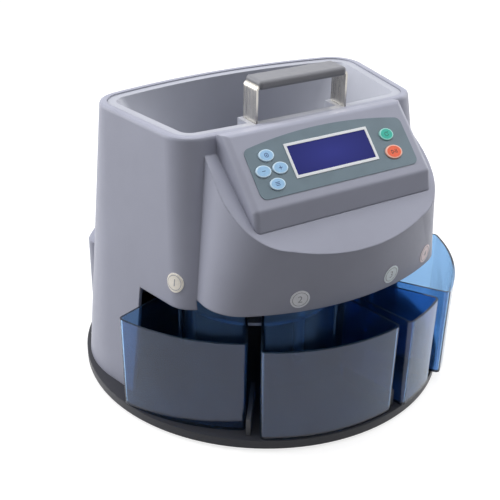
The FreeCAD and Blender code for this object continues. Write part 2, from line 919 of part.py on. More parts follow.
# Sorting plate with a slot for each drawer, and the chutes under the slots
plate_underside = "plate_top - plate_thickness"
plate = cylinder("plate_disc", "plate_radius", "plate_thickness", "0", "rotor_y", plate_underside)
plate_bore = cylinder("plate_bore", "bush_radius", "plate_thickness", "0", "rotor_y", plate_underside)
slots = [plate_bore]
chutes = []
for index, (left, right, _, _) in enumerate(spans):
    turn = (left + right) / 2
    slot_width = size("chute_width") - size("slot_step") * (len(spans) - index)
    slot = Part.makeBox(
        slot_width,
        size("chute_side"),
        2 * size("plate_thickness"),
        Vector(-slot_width / 2, -size("disc_radius") + size("chute_floor"), -size("plate_thickness")),
    )
    slot_place = Placement(Vector(0, rotor_y, size("plate_top")), Rotation(Vector(0, 0, 1), turn))
    slots.append(feature(f"coin_slot_{index + 1}", slot, slot_place))
    start = polar(turn, size("chute_start"), 0, rotor_y)
    end = polar(turn, size("chute_end"))
    run = math.hypot(end.x - start.x, end.y - start.y)
    heading = math.degrees(math.atan2(end.x - start.x, -(end.y - start.y)))
    top_z = size("plate_top") - size("plate_thickness") - size("contact_gap")
    fall = math.degrees(math.atan2(top_z - size("chute_low") - size("chute_side"), run))
    width = size("chute_width")
    floor_block = Part.makeBox(width, run, size("chute_side"), Vector(-width / 2, -run, -size("chute_side")))
    groove = Part.makeBox(
        width - 2 * size("chute_floor"),
        run,
        size("chute_side"),
        Vector(-width / 2 + size("chute_floor"), -run, -size("chute_side") + size("chute_floor")),
    )
    chute = floor_block.cut(groove)
    lean = Rotation(Vector(0, 0, 1), heading).multiply(Rotation(Vector(1, 0, 0), fall))
    chute.Placement = Placement(Vector(start.x, start.y, top_z), lean)
    chutes.append(chute)
piece(cut("sorting_plate", plate, *slots))
piece(feature("coin_chutes", Part.Compound(chutes)))
piece(
    box(
        "coin_sensor_board",
        "sensor_length",
        "sensor_width",
        "sensor_height",
        "0",
        "rotor_y + plate_radius - 2 * sensor_width",
        "plate_top - plate_thickness - sensor_height",
    )
)

# Feed disc with pockets, its knob, the shaft and its bushes
disc_z = "plate_top + disc_lift"
disc = cylinder("disc_blank", "disc_radius", "disc_thickness", "0", "rotor_y", disc_z)
pockets = [cylinder("disc_bore", "shaft_radius", "disc_thickness", "0", "rotor_y", disc_z)]
pocket_count = int(size("pocket_count"))
for index in range(pocket_count):
    turn = index * math.tau / pocket_count
    pockets.append(
        cylinder(
            f"pocket_{index + 1}",
            "pocket_radius",
            "disc_thickness",
            f"pocket_ring * ({math.cos(turn):.6f})",
            f"rotor_y + pocket_ring * ({math.sin(turn):.6f})",
            disc_z,
        )
    )
piece(cut("feed_disc", disc, *pockets))
knob = doc.addObject("Part::Cone", "disc_knob")
bind(knob, Radius1="knob_radius", Radius2="knob_tip", Height="knob_height")
place(knob, "0", "rotor_y", "plate_top + disc_lift + disc_thickness")
piece(knob)
shaft_low = "chassis_z - flange_thickness - clip_thickness - 2 * contact_gap - shaft_radius"
piece(
    cylinder(
        "drive_shaft",
        "shaft_radius",
        f"plate_top + disc_lift + disc_thickness - ({shaft_low})",
        "0",
        "rotor_y",
        shaft_low,
    )
)


def bush(name, low, high, flange_low):
    """A flanged bush with a running bore for the shaft."""
    sleeve = cylinder(name + "_sleeve", "bush_radius", f"({high}) - ({low})", "0", "rotor_y", low)
    flange = cylinder(name + "_flange", "bush_flange", "flange_thickness", "0", "rotor_y", flange_low)
    bore = cylinder(name + "_bore", "shaft_radius + shaft_gap", "rim_height", "0", "rotor_y", "0")
    return cut(name, fuse(name + "_body", sleeve, flange), bore)


bush_low = "plate_top - plate_thickness - flange_thickness"
upper_bush = bush("upper_bush", bush_low, "plate_top", bush_low)
bush_seat = "chassis_z + chassis_thickness"
lower_bush = bush("lower_bush", "chassis_z - flange_thickness", bush_seat + " + flange_thickness", bush_seat)
piece(group("shaft_bushes", upper_bush, lower_bush))
clip_low = "chassis_z - flange_thickness - contact_gap - clip_thickness"
clip = cylinder("clip_ring", "clip_radius", "clip_thickness", "0", "rotor_y", clip_low)
clip_bore = cylinder("clip_bore", "shaft_radius", "rim_height", "0", "rotor_y", "0")
piece(cut("shaft_clip", clip, clip_bore))

# Gear pair: the large gear turns the disc, the pinion sits on the motor's shaft
gear_z = size("gear_z")
module_size = size("gear_module")
center_distance = module_size * (size("gear_teeth") + size("pinion_teeth")) / 2 + size("mesh_play")
pinion_y = rotor_y + center_distance


def gear(teeth, bore, first_turn):
    """A spur gear with straight-flanked teeth; the first tooth points at the first turn."""
    pitch = module_size * teeth / 2
    points = []
    for tooth in range(int(teeth)):
        for share, reach in TOOTH_CORNERS:
            turn = first_turn + (tooth + share) * math.tau / teeth
            radius = pitch + reach * module_size
            points.append(Vector(radius * math.cos(turn), radius * math.sin(turn), gear_z))
    blank = Part.Face(Part.makePolygon(points + points[:1])).extrude(Vector(0, 0, size("gear_width")))
    return blank.cut(Part.makeCylinder(bore, size("gear_width"), Vector(0, 0, gear_z)))


half_tooth = math.pi / size("gear_teeth")
driven = gear(size("gear_teeth"), size("shaft_radius"), math.pi / 2 + half_tooth)
piece(feature("driven_gear", driven, Placement(Vector(0, rotor_y, 0), Rotation())))
pinion = gear(size("pinion_teeth"), size("motor_shaft_radius"), -math.pi / 2)
piece(feature("motor_pinion", pinion, Placement(Vector(0, pinion_y, 0), Rotation())))

# Motor under the chassis plate, with its shaft up through the plate
motor_spot = Vector(0, pinion_y, 0)
motor_screw_spots = [Vector(side * size("motor_screw_ring"), pinion_y, 0) for side in (-1, 1)]
chassis_z = size("chassis_z")
chassis_top = chassis_z + size("chassis_thickness")
motor = bar(motor_spot, size("motor_radius"), chassis_z - size("motor_length"), size("motor_length"))
motor = motor.fuse(bar(motor_spot, size("motor_boss"), chassis_z, size("chassis_thickness"))).removeSplitter()
shaft_start = chassis_z - size("motor_shaft_grip")
shaft_length = gear_z + size("gear_width") - shaft_start
motor_shaft = bar(motor_spot, size("motor_shaft_radius"), shaft_start, shaft_length)
motor_bore = size("motor_shaft_radius") + size("shaft_gap")
motor = motor.cut(bar(motor_spot, motor_bore, shaft_start - size("contact_gap"), size("rim_height")))
chassis = bar(rotor_spot, size("chassis_radius"), chassis_z, size("chassis_thickness"))
chassis = chassis.cut(bar(rotor_spot, size("bush_radius"), chassis_z, size("chassis_thickness")))
chassis = chassis.cut(bar(motor_spot, size("motor_boss"), chassis_z, size("chassis_thickness")))
motor_screws = []
for spot in motor_screw_spots:
    motor_screws.append(screw(spot, chassis_top, size("screw_length"), 1))
    hole = bar(spot, size("screw_radius"), chassis_top - size("screw_length"), size("screw_length"))
    chassis = chassis.cut(hole)
    motor = motor.cut(hole)
piece(feature("gear_motor", motor))
piece(feature("motor_shaft", motor_shaft))
piece(feature("motor_screws", Part.Compound(motor_screws)))
piece(feature("chassis_plate", chassis))

# Posts that carry the chassis plate on the tray and the sorting plate on the chassis
lower_posts = []
for spot in screw_spots:
    post = bar(spot, size("post_radius"), size("tray_top"), chassis_z - size("tray_top"))
    lower_posts.append(post.cut(bar(spot, size("screw_radius"), 0, seat_z + size("screw_length"))))
piece(feature("lower_posts", Part.Compound(lower_posts)))
plate_low = size("plate_top") - size("plate_thickness")
upper_posts = [bar(spot, size("post_radius"), chassis_top, plate_low - chassis_top) for spot in screw_spots]
piece(feature("upper_posts", Part.Compound(upper_posts)))

# Power entry: inlet, rocker switch, supply board and transformer
wall_y = size("back_y") - size("entry_flange")


def entry_body(x, width, height, depth):
    """A snap-in body with a flange that lies on the back wall."""
    lip = size("flange_lip")
    left = x - width / 2
    low = size("entry_z") - height / 2
    body = Part.makeBox(width, depth, height, Vector(left, wall_y - depth, low))
    flange_corner = Vector(left - lip, wall_y, low - lip)
    flange = Part.makeBox(width + 2 * lip, size("entry_flange"), height + 2 * lip, flange_corner)
    return body.fuse(flange).removeSplitter()


inlet = entry_body(size("inlet_x"), size("inlet_width"), size("inlet_height"), size("inlet_depth"))
socket_depth = size("inlet_depth") + size("entry_flange") - size("wall")
socket_width = size("inlet_width") - 2 * size("wall")
socket_height = size("inlet_height") - 2 * size("wall")
socket_corner = Vector(
    size("inlet_x") - socket_width / 2,
    size("back_y") - socket_depth,
    size("entry_z") - socket_height / 2,
)
inlet = inlet.cut(Part.makeBox(socket_width, socket_depth, socket_height, socket_corner))
for step in (-1, 0, 1):
    blade_x = size("inlet_x") + step * size("blade_spacing") - size("blade_thickness") / 2
    blade_z = size("entry_z") - (size("blade_height") / 2 if step else 0)
    blade_y = size("back_y") - socket_depth - size("wall") / 2
    blade = Part.makeBox(
        size("blade_thickness"), socket_depth, size("blade_height"), Vector(blade_x, blade_y, blade_z)
    )
    inlet = inlet.fuse(blade)
piece(feature("power_inlet", inlet.removeSplitter()))

switch_frame = entry_body(size("switch_x"), size("switch_width"), size("switch_height"), size("switch_depth"))
pocket_width = size("rocker_width") + 2 * size("contact_gap")
pocket_height = 2 * (size("rocker_radius") + size("contact_gap"))
pocket_floor = size("back_y") - size("rocker_radius") - 2 * size("contact_gap")
switch_frame = switch_frame.cut(
    Part.makeBox(
        pocket_width,
        size("back_y"),
        pocket_height,
        Vector(size("switch_x") - pocket_width / 2, pocket_floor, size("entry_z") - pocket_height / 2),
    )
)
trunnion_y = size("back_y") - size("rocker_radius") / 2


def cross_bar(radius, length):
    """A bar across the switch at the rocker's pivot."""
    start = Vector(size("switch_x") - length / 2, trunnion_y, size("entry_z"))
    return Part.makeCylinder(radius, length, start, Vector(1, 0, 0))


switch_frame = switch_frame.cut(
    cross_bar(size("trunnion_radius") + size("shaft_gap"), pocket_width + size("flange_thickness"))
)
piece(feature("switch_body", switch_frame))
rocker_length = size("rocker_radius") / 2
drum = cross_bar(rocker_length, size("rocker_width"))
rocker_half = size("rocker_radius") - size("contact_gap") * 3
tip = math.tan(math.radians(size("rocker_tip"))) * rocker_half
wing = [
    (trunnion_y, size("entry_z") - rocker_length),
    (size("back_y") - tip, size("entry_z") - rocker_half),
    (size("back_y") - tip, size("entry_z")),
    (size("back_y") - tip, size("entry_z") + rocker_half),
    (trunnion_y, size("entry_z") + rocker_length),
]
wing_corners = [Vector(size("switch_x") - size("rocker_width") / 2, y, z) for y, z in wing]
wing_face = Part.Face(Part.makePolygon(wing_corners + wing_corners[:1]))
wings = wing_face.extrude(Vector(size("rocker_width"), 0, 0))
rocker = drum.fuse(wings).fuse(cross_bar(size("trunnion_radius"), pocket_width + size("screw_radius")))
rocker = rocker.removeSplitter()
rocker.rotate(Vector(size("switch_x"), trunnion_y, size("entry_z")), Vector(1, 0, 0), -size("rocker_tip"))
piece(feature("power_rocker", rocker))

power_board = Part.makeBox(
    size("power_board_width"),
    size("board_thickness"),
    size("power_board_height"),
    Vector(-size("power_board_width") / 2, size("power_board_y"), size("tray_top")),
)
piece(feature("power_board", power_board))
piece(
    box(
        "power_transformer",
        "transformer_width",
        "transformer_depth",
        "transformer_height",
        "0",
        "power_board_y - transformer_depth / 2",
        "tray_top",
    )
)


# Coin drawers: slices of a ring with rounded corners, open on top
def drawer_plan(left, right, front, inset, z):
    """The outline of one drawer, drawn in by an inset; its corners keep their centres."""
    rounding = size("drawer_corner")
    back = size("drawer_back")
    radius = rounding - inset
    front_turn = math.degrees(math.asin(rounding / (front - rounding)))
    back_turn = math.degrees(math.asin(rounding / (back + rounding)))

    def tangents(turn, reach, outward, side):
        center = polar(turn, reach, z)
        on_arc = center + (polar(turn, radius) - polar(turn, 0)) * outward
        square = side + math.copysign(90, side - turn)
        on_side = center + polar(square, radius) - polar(square, 0)
        return center, on_arc, on_side

    front_left = tangents(left + front_turn, front - rounding, 1, left)
    front_right = tangents(right - front_turn, front - rounding, 1, right)
    back_right = tangents(right - back_turn, back + rounding, -1, right)
    back_left = tangents(left + back_turn, back + rounding, -1, left)
    middle = (left + right) / 2
    return Part.Wire(
        [
            corner(front_left[2], front_left[1], front_left[0], radius),
            arc(front_left[1], polar(middle, front - inset, z), front_right[1]),
            corner(front_right[1], front_right[2], front_right[0], radius),
            line(front_right[2], back_right[2]),
            corner(back_right[2], back_right[1], back_right[0], radius),
            arc(back_right[1], polar(middle, back + inset, z), back_left[1]),
            corner(back_left[1], back_left[2], back_left[0], radius),
            line(back_left[2], front_left[2]),
        ]
    )


for name, (left, right, pull, turn) in DRAWERS.items():
    front = size("drawer_front")
    draft = size("drawer_draft")
    thick = size("drawer_wall")
    low = size("drawer_floor")
    high = size("drawer_rim")
    outside = loft(drawer_plan(left, right, front, draft, low), drawer_plan(left, right, front, 0, high))
    inside = loft(
        drawer_plan(left, right, front, draft + thick, low),
        drawer_plan(left, right, front, thick, high),
    )
    reach = 2 * size("base_radius")
    above_floor = Part.makeBox(2 * reach, 2 * reach, reach, Vector(-reach, -reach, low + thick))
    middle = polar((left + right) / 2, front - size("drawer_depth") / 2)
    out = polar((left + right) / 2 + turn, size(pull)) - polar(0, 0)
    stand = Placement(out, Rotation(Vector(0, 0, 1), turn), middle)
    piece(feature(name, outside.cut(inside.common(above_floor)), stand))

# Round coin labels that lie on the housing
labels = []
skin = loft(
    apron_plan("low", -size("label_thickness"), size("opening_top")),
    apron_plan("high", -size("label_thickness"), size("apron_top")),
)
skin = skin.fuse(
    loft(
        skirt_plan(-size("label_thickness"), size("tray_top")),
        rim_plan(-size("label_thickness"), size("rim_height")),
    )
)
for angle in LABEL_ANGLES:
    start = polar(angle, size("plate_radius"), size("label_z"))
    outward = polar(angle, 1) - polar(angle, 0)
    disc_bar = Part.makeCylinder(size("label_radius"), size("base_radius"), start, outward)
    labels.append(disc_bar.common(skin).cut(housing_outer))
piece(feature("coin_labels", Part.Compound([solid for label in labels for solid in label.Solids])))

doc.recompute()
for item in doc.Objects:
    if {"Invalid", "Error"} & set(item.State):
        raise RuntimeError(f"{item.Name} did not build: {item.State}")
for item in pieces:
    if item.Shape.isNull() or not item.Shape.isValid():
        raise RuntimeError(f"{item.Label} has no valid shape")

os.makedirs("parts", exist_ok=True)
for item in pieces:
    item.Shape.exportStep(f"parts/{item.Label}.step")
print(f"{len(pieces)} pieces written")
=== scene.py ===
import math

import bpy
import numpy as np
from mathutils import Matrix


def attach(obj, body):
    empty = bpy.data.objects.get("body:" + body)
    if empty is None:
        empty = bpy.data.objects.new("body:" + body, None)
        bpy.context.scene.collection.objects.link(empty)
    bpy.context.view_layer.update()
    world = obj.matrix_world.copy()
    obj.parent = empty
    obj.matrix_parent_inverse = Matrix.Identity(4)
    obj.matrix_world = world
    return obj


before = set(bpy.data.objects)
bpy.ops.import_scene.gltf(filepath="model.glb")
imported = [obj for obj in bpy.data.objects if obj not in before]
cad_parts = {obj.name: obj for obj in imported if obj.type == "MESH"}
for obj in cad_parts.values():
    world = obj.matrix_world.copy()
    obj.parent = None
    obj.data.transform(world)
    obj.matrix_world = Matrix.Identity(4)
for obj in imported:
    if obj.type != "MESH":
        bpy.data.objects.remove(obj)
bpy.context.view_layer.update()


# Base tray: the black moulding that everything stands on, with a fine spark-eroded skin.
# It is polypropylene, and the machine's posts are screwed to it from below.
def feed(tree, node, **links):
    """Give a node's inputs a value or another node's socket, by name or by number (n0, n1)."""
    for name, value in links.items():
        number = name[1:]
        socket = node.inputs[int(number) if number.isdigit() else name.replace("_", " ")]
        if isinstance(value, bpy.types.NodeSocket):
            tree.links.new(value, socket)
        else:
            socket.default_value = value


def add(tree, kind, settings=None, **links):
    """One new shader node with its settings and its inputs."""
    node = tree.nodes.new(kind)
    for name, value in (settings or {}).items():
        setattr(node, name, value)
    feed(tree, node, **links)
    return node


def object_place(tree):
    """The place on the machine, in metres."""
    return add(tree, "ShaderNodeTexCoord").outputs["Object"]


def noise(tree, place, scale, detail):
    """Cloudy noise with a number of waves to the metre."""
    return add(tree, "ShaderNodeTexNoise", Vector=place, Scale=scale, Detail=detail).outputs["Fac"]


def remap(tree, value, before, after):
    """A value taken from one range to another."""
    low, high = before
    new_low, new_high = after
    node = add(tree, "ShaderNodeMapRange", Value=value, n1=low, n2=high, n3=new_low, n4=new_high)
    return node.outputs["Result"]


NOISE_SPAN = (0.3, 0.7)


def wander(tree, value, low, high):
    """A noise taken from the span that most of it covers to a range."""
    return remap(tree, value, NOISE_SPAN, (low, high))


def reckon(tree, operation, first, second):
    """Two values added, multiplied or compared."""
    return add(tree, "ShaderNodeMath", {"operation": operation}, n0=first, n1=second).outputs["Value"]


def toned(tree, colour, tone):
    """A colour made lighter or darker by a factor."""
    return add(tree, "ShaderNodeVectorMath", {"operation": "SCALE"}, n0=colour, Scale=tone).outputs["Vector"]


def blend(tree, share, first, second):
    """Two colours mixed by the share of the second."""
    return add(tree, "ShaderNodeMix", {"data_type": "RGBA"}, n0=share, n6=first, n7=second).outputs[2]


def node_group(name, inputs, outputs):
    """An empty shader group with named inputs (socket type, default) and outputs."""
    tree = bpy.data.node_groups.new(name, "ShaderNodeTree")
    for label, (kind, default) in inputs.items():
        socket = tree.interface.new_socket(label, in_out="INPUT", socket_type=kind)
        socket.default_value = default
    for label, kind in outputs.items():
        tree.interface.new_socket(label, in_out="OUTPUT", socket_type=kind)
    return tree, tree.nodes.new("NodeGroupInput"), tree.nodes.new("NodeGroupOutput")


def make_moulded_skin():
    """Moulded plastic: cloudy colour shifts a few centimetres wide, a pebbled skin of millimetre cells,
    and a painted highlight along the outer edges, where the rounded normal leaves the true one."""
    tree, given, out = node_group(
        "moulded_skin",
        {
            "Colour": ("NodeSocketColor", (0.4, 0.4, 0.4, 1)),
            "Rubbed": ("NodeSocketColor", (0.5, 0.5, 0.5, 1)),
            "Roughness": ("NodeSocketFloat", 0.5),
            "Cells": ("NodeSocketFloat", 900.0),
            "Edge": ("NodeSocketFloat", 0.001),
        },
        {
            "Colour": "NodeSocketColor",
            "Roughness": "NodeSocketFloat",
            "Height": "NodeSocketFloat",
            "Normal": "NodeSocketVector",
        },
    )
    place = object_place(tree)
    cloud = noise(tree, place, scale=14.0, detail=4.0)
    streak = noise(tree, place, scale=160.0, detail=3.0)
    fineness = given.outputs["Cells"]
    cells = add(tree, "ShaderNodeTexVoronoi", {"feature": "SMOOTH_F1"}, Vector=place, Scale=fineness)
    rounded = add(tree, "ShaderNodeBevel", {"samples": 4}, Radius=given.outputs["Edge"]).outputs["Normal"]
    true = add(tree, "ShaderNodeNewGeometry").outputs["Normal"]
    same = add(tree, "ShaderNodeVectorMath", {"operation": "DOT_PRODUCT"}, n0=rounded, n1=true)
    # Painted highlight: a mask of the edges, broken by streaks, that blends them towards a lighter colour.
    edge = remap(tree, same.outputs["Value"], (0.98, 0.75), (0.0, 1.0))
    clouded = toned(tree, given.outputs["Colour"], wander(tree, cloud, 0.95, 1.05))
    feed(
        tree,
        out,
        Colour=blend(tree, reckon(tree, "MULTIPLY", edge, streak), clouded, given.outputs["Rubbed"]),
        Roughness=reckon(tree, "ADD", given.outputs["Roughness"], wander(tree, streak, -0.05, 0.05)),
        Height=cells.outputs["Distance"],
        Normal=rounded,
    )
    return tree


moulded_skin = make_moulded_skin()


def new_material(name):
    """A material with an empty node tree, its Principled shader and its output joined."""
    material = bpy.data.materials.new(name)
    material.use_nodes = True
    tree = material.node_tree
    tree.nodes.clear()
    shader = tree.nodes.new("ShaderNodeBsdfPrincipled")
    tree.links.new(shader.outputs["BSDF"], tree.nodes.new("ShaderNodeOutputMaterial").inputs["Surface"])
    return material, tree, shader


def moulded(name, colour, roughness=0.5, cells=900.0, grain=0.12, edge=0.001, rub=1.18):
    """A moulded plastic of one colour, with the depth of its grain, the rounding of its edges in metres,
    and how much lighter the painted highlight makes them."""
    material, tree, shader = new_material(name)
    skin = add(
        tree,
        "ShaderNodeGroup",
        {"node_tree": moulded_skin},
        Colour=(*colour, 1),
        # Painted highlight: the edges take this lighter copy of the colour.
        Rubbed=(*[min(1.0, value * rub) for value in colour], 1),
        Roughness=roughness,
        Cells=cells,
        Edge=edge,
    ).outputs
    bump = add(
        tree,
        "ShaderNodeBump",
        Strength=grain,
        Distance=0.0003,
        Height=skin["Height"],
        Normal=skin["Normal"],
    )
    feed(
        tree,
        shader,
        Base_Color=skin["Colour"],
        Roughness=skin["Roughness"],
        Normal=bump.outputs["Normal"],
        Specular_IOR_Level=0.3,
    )
    return material


def dress(material, *names):
    """Give solids of the frame their finish."""
    for name in names:
        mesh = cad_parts[name].data
        mesh.materials.clear()
        mesh.materials.append(material)


dress(moulded("black_base_plastic", (0.036, 0.037, 0.046), roughness=0.46), "base_tray")

# Feet: four soft black rubber discs, dull and coarsely grained.
# They are pressed into recesses under the tray.
rubber = moulded("foot_rubber", (0.03, 0.03, 0.031), roughness=0.8, cells=500.0, grain=0.2, rub=1.5)
dress(rubber, "rubber_feet")


# Screws, shafts, posts and plates: plated, ground and turned metal of the drive and its chassis.
# The posts stand on the tray, and screws hold them and the motor.
def make_metal_grain():
    """Worked metal: fine lines drawn out along one direction by a stretched noise, and a roughness that
    goes up with the lines and with a dull film in patches."""
    tree, given, out = node_group(
        "metal_grain",
        {
            "Colour": ("NodeSocketColor", (0.6, 0.6, 0.6, 1)),
            "Roughness": ("NodeSocketFloat", 0.3),
            "Stretch": ("NodeSocketVector", (1500.0, 1500.0, 20.0)),
        },
        {"Colour": "NodeSocketColor", "Roughness": "NodeSocketFloat", "Height": "NodeSocketFloat"},
    )
    place = object_place(tree)
    stretch = given.outputs["Stretch"]
    drawn = add(tree, "ShaderNodeVectorMath", {"operation": "MULTIPLY"}, n0=place, n1=stretch)
    lines = noise(tree, drawn.outputs["Vector"], scale=1.0, detail=3.0)
    film = noise(tree, place, scale=45.0, detail=4.0)
    spread = remap(tree, reckon(tree, "ADD", lines, film), (0.7, 1.3), (-0.08, 0.1))
    feed(
        tree,
        out,
        Colour=toned(tree, given.outputs["Colour"], wander(tree, lines, 0.88, 1.08)),
        Roughness=reckon(tree, "ADD", given.outputs["Roughness"], spread),
        Height=lines,
    )
    return tree


metal_grain = make_metal_grain()


def metal(name, colour, roughness, stretch, depth=0.05):
    """A bare metal with its colour, roughness and the stretch of its working lines along X, Y and Z."""
    material, tree, shader = new_material(name)
    grain = add(
        tree,
        "ShaderNodeGroup",
        {"node_tree": metal_grain},
        Colour=(*colour, 1),
        Roughness=roughness,
        Stretch=stretch,
    ).outputs
    bump = add(tree, "ShaderNodeBump", Strength=depth, Distance=0.0002, Height=grain["Height"])
    feed(
        tree,
        shader,
        Base_Color=grain["Colour"],
        Roughness=grain["Roughness"],
        Normal=bump.outputs["Normal"],
        Metallic=1.0,
    )
    return material


zinc = metal("zinc_plate", (0.62, 0.63, 0.66), roughness=0.32, stretch=(900.0, 900.0, 900.0))
dress(zinc, "base_screws", "motor_screws")
aluminium = metal("turned_aluminium", (0.72, 0.72, 0.74), roughness=0.35, stretch=(40.0, 40.0, 2500.0))
dress(aluminium, "lower_posts", "upper_posts")
sheet = metal("plated_sheet", (0.58, 0.59, 0.62), roughness=0.38, stretch=(25.0, 1400.0, 1400.0))
dress(sheet, "chassis_plate")
plate = metal("machined_aluminium", (0.36, 0.37, 0.39), roughness=0.5, stretch=(1200.0, 20.0, 1200.0))
dress(plate, "sorting_plate")
steel = metal("ground_steel", (0.6, 0.6, 0.62), roughness=0.22, stretch=(60.0, 60.0, 3000.0))
dress(steel, "drive_shaft", "motor_shaft", "shaft_clip")
brass = metal("turned_brass", (0.78, 0.6, 0.3), roughness=0.3, stretch=(60.0, 60.0, 2500.0))
dress(brass, "shaft_bushes", "motor_pinion")
dress(metal("motor_can", (0.45, 0.46, 0.48), roughness=0.42, stretch=(30.0, 30.0, 1500.0)), "gear_motor")

# Feed disc, gear, chutes and drawer rails: mouldings of the coin path.
# The disc turns under the hopper, and coins drop from its pockets into the chutes.
dress(moulded("disc_plastic", (0.2, 0.21, 0.235), roughness=0.4), "feed_disc", "disc_knob")
dress(moulded("gear_nylon", (0.78, 0.77, 0.72), roughness=0.45, cells=1400.0), "driven_gear")
dress(moulded("chute_plastic", (0.035, 0.036, 0.04), roughness=0.4), "coin_chutes")
dress(moulded("rail_plastic", (0.1, 0.103, 0.115), roughness=0.5), "drawer_rails")


# Circuit boards and their parts: green solder mask over copper tracks, black switches and module.
# They are fixed behind the panel, under the sorting plate and at the back.
def make_track_pattern():
    """Copper tracks: the joints of a brick grid a few millimetres wide, a paler green through the mask."""
    tree, given, out = node_group(
        "track_pattern",
        {
            "Mask": ("NodeSocketColor", (0.02, 0.2, 0.08, 1)),
            "Track": ("NodeSocketColor", (0.06, 0.34, 0.14, 1)),
        },
        {"Colour": "NodeSocketColor", "Height": "NodeSocketFloat"},
    )
    brick = add(
        tree,
        "ShaderNodeTexBrick",
        Vector=object_place(tree),
        Color1=(0, 0, 0, 1),
        Color2=(0, 0, 0, 1),
        Mortar=(1, 1, 1, 1),
        Scale=130.0,
    )
    track = brick.outputs["Fac"]
    feed(tree, out, Colour=blend(tree, track, given.outputs["Mask"], given.outputs["Track"]), Height=track)
    return tree


def circuit_board(name):
    """Solder mask over tracks that stand a little proud."""
    material, tree, shader = new_material(name)
    tracks = add(tree, "ShaderNodeGroup", {"node_tree": make_track_pattern()}).outputs
    bump = add(tree, "ShaderNodeBump", Strength=0.2, Distance=0.0002, Height=tracks["Height"])
    feed(tree, shader, Base_Color=tracks["Colour"], Roughness=0.35, Normal=bump.outputs["Normal"])
    return material


dress(circuit_board("solder_mask"), "control_board", "coin_sensor_board", "power_board")
dress(moulded("module_plastic", (0.02, 0.02, 0.022), roughness=0.5), "display_module", "key_switches")
dress(moulded("varnished_core", (0.12, 0.105, 0.09), roughness=0.42, cells=1500.0), "power_transformer")

# Main housing: the large grey moulding with its tapered walls, apron and rear box.
# It is ABS with a satin skin, and it stands on the tray.
BODY_GREY = (0.345, 0.356, 0.438)
housing_skin = {"roughness": 0.44, "cells": 1300.0, "grain": 0.06, "rub": 1.12}
dress(moulded("housing_grey_plastic", BODY_GREY, edge=0.002, **housing_skin), "main_housing")

# Hopper and handle bosses: the paler, smoother funnel that hangs inside the rim.
# The bosses have the same finish, and the legs of the handle slide in them.
hopper_grey = moulded(
    "hopper_grey_plastic", (0.425, 0.439, 0.505), roughness=0.36, cells=1300.0, grain=0.03, rub=1.1
)
dress(hopper_grey, "hopper", "handle_guides")

# Carrying handle: flat steel strap bent to a U and brushed along its length, with a moulded grip on it.
# Pins through the feet of the legs stop it at the end of its travel.
strap = metal("brushed_strap", (0.56, 0.54, 0.5), roughness=0.27, stretch=(1600.0, 1600.0, 18.0), depth=0.08)
dress(strap, "handle_strap", "handle_stop_pins")
grip = moulded("grip_plastic", (0.225, 0.228, 0.252), roughness=0.46, cells=1100.0, grain=0.1, rub=1.15)
dress(grip, "handle_grip")

# Console: the wedge on the shelf that carries the controls, in the same grey as the housing.
# It is moulded in ABS like the housing and seated on the apron.
dress(moulded("console_grey_plastic", BODY_GREY, edge=0.0015, **housing_skin), "console_housing")


# Printed overlay: a slate polyester film with an arched top, glued to the console.
# The print has a slight mottle, and the film's face is finely frosted.
def printed_film(name, colour):
    """A printed film: the ink's tone wanders by a few percent, and the frosted face is a very fine noise."""
    material, tree, shader = new_material(name)
    place = object_place(tree)
    mottle = noise(tree, place, scale=60.0, detail=4.0)
    frost = noise(tree, place, scale=3500.0, detail=1.0)
    bump = add(tree, "ShaderNodeBump", Strength=0.06, Distance=0.0001, Height=frost)
    feed(
        tree,
        shader,
        Base_Color=toned(tree, colour, wander(tree, mottle, 0.94, 1.06)),
        Roughness=wander(tree, mottle, 0.36, 0.46),
        Normal=bump.outputs["Normal"],
    )
    return material


dress(printed_film("slate_film", (0.135, 0.19, 0.23)), "control_overlay")

# Screen: a white moulded frame round a blue window, over the display module.
# The window is polished, and the lit field behind it is a little brighter in the middle.
SCREEN_MIDDLE = (0.0, -0.0798, 0.2407)
SCREEN_HALVES = (0.045, 0.02)
PANEL_TILT = math.radians(45)
frame_white = moulded(
    "frame_white_plastic", (0.8, 0.82, 0.85), roughness=0.35, cells=1500.0, grain=0.04, edge=0.0003, rub=1.05
)
dress(frame_white, "screen_frame")


def panel_distance(tree, middle, halves):
    """Distance from a middle in the plane of the panel, counted in half widths across and half heights up."""
    own = add(
        tree,
        "ShaderNodeMapping",
        {"vector_type": "TEXTURE"},
        Vector=object_place(tree),
        Location=middle,
        Rotation=(PANEL_TILT, 0, 0),
        Scale=(*halves, 1.0),
    ).outputs["Vector"]
    flat = add(tree, "ShaderNodeVectorMath", {"operation": "MULTIPLY"}, n0=own, n1=(1, 1, 0))
    far = add(tree, "ShaderNodeVectorMath", {"operation": "LENGTH"}, n0=flat.outputs["Vector"])
    return far.outputs["Value"]


def lit_window(name):
    """Blue display: deep at the corners and brighter towards the middle by the distance from it,
    and a little darker between the dots of a fine grid."""
    material, tree, shader = new_material(name)
    fade = remap(tree, panel_distance(tree, SCREEN_MIDDLE, SCREEN_HALVES), (0.1, 1.3), (0.0, 1.0))
    field = blend(tree, fade, (0.03, 0.036, 0.22, 1), (0.017, 0.02, 0.135, 1))
    dots = add(tree, "ShaderNodeTexVoronoi", Vector=object_place(tree), Scale=1800.0, Randomness=0.0)
    shown = toned(tree, field, remap(tree, dots.outputs["Distance"], (0.2, 0.6), (1.0, 0.88)))
    feed(
        tree,
        shader,
        Base_Color=shown,
        Emission_Color=shown,
        Emission_Strength=0.25,
        Roughness=0.12,
        Specular_IOR_Level=0.15,
    )
    return material


dress(lit_window("lit_blue_window"), "display_window")

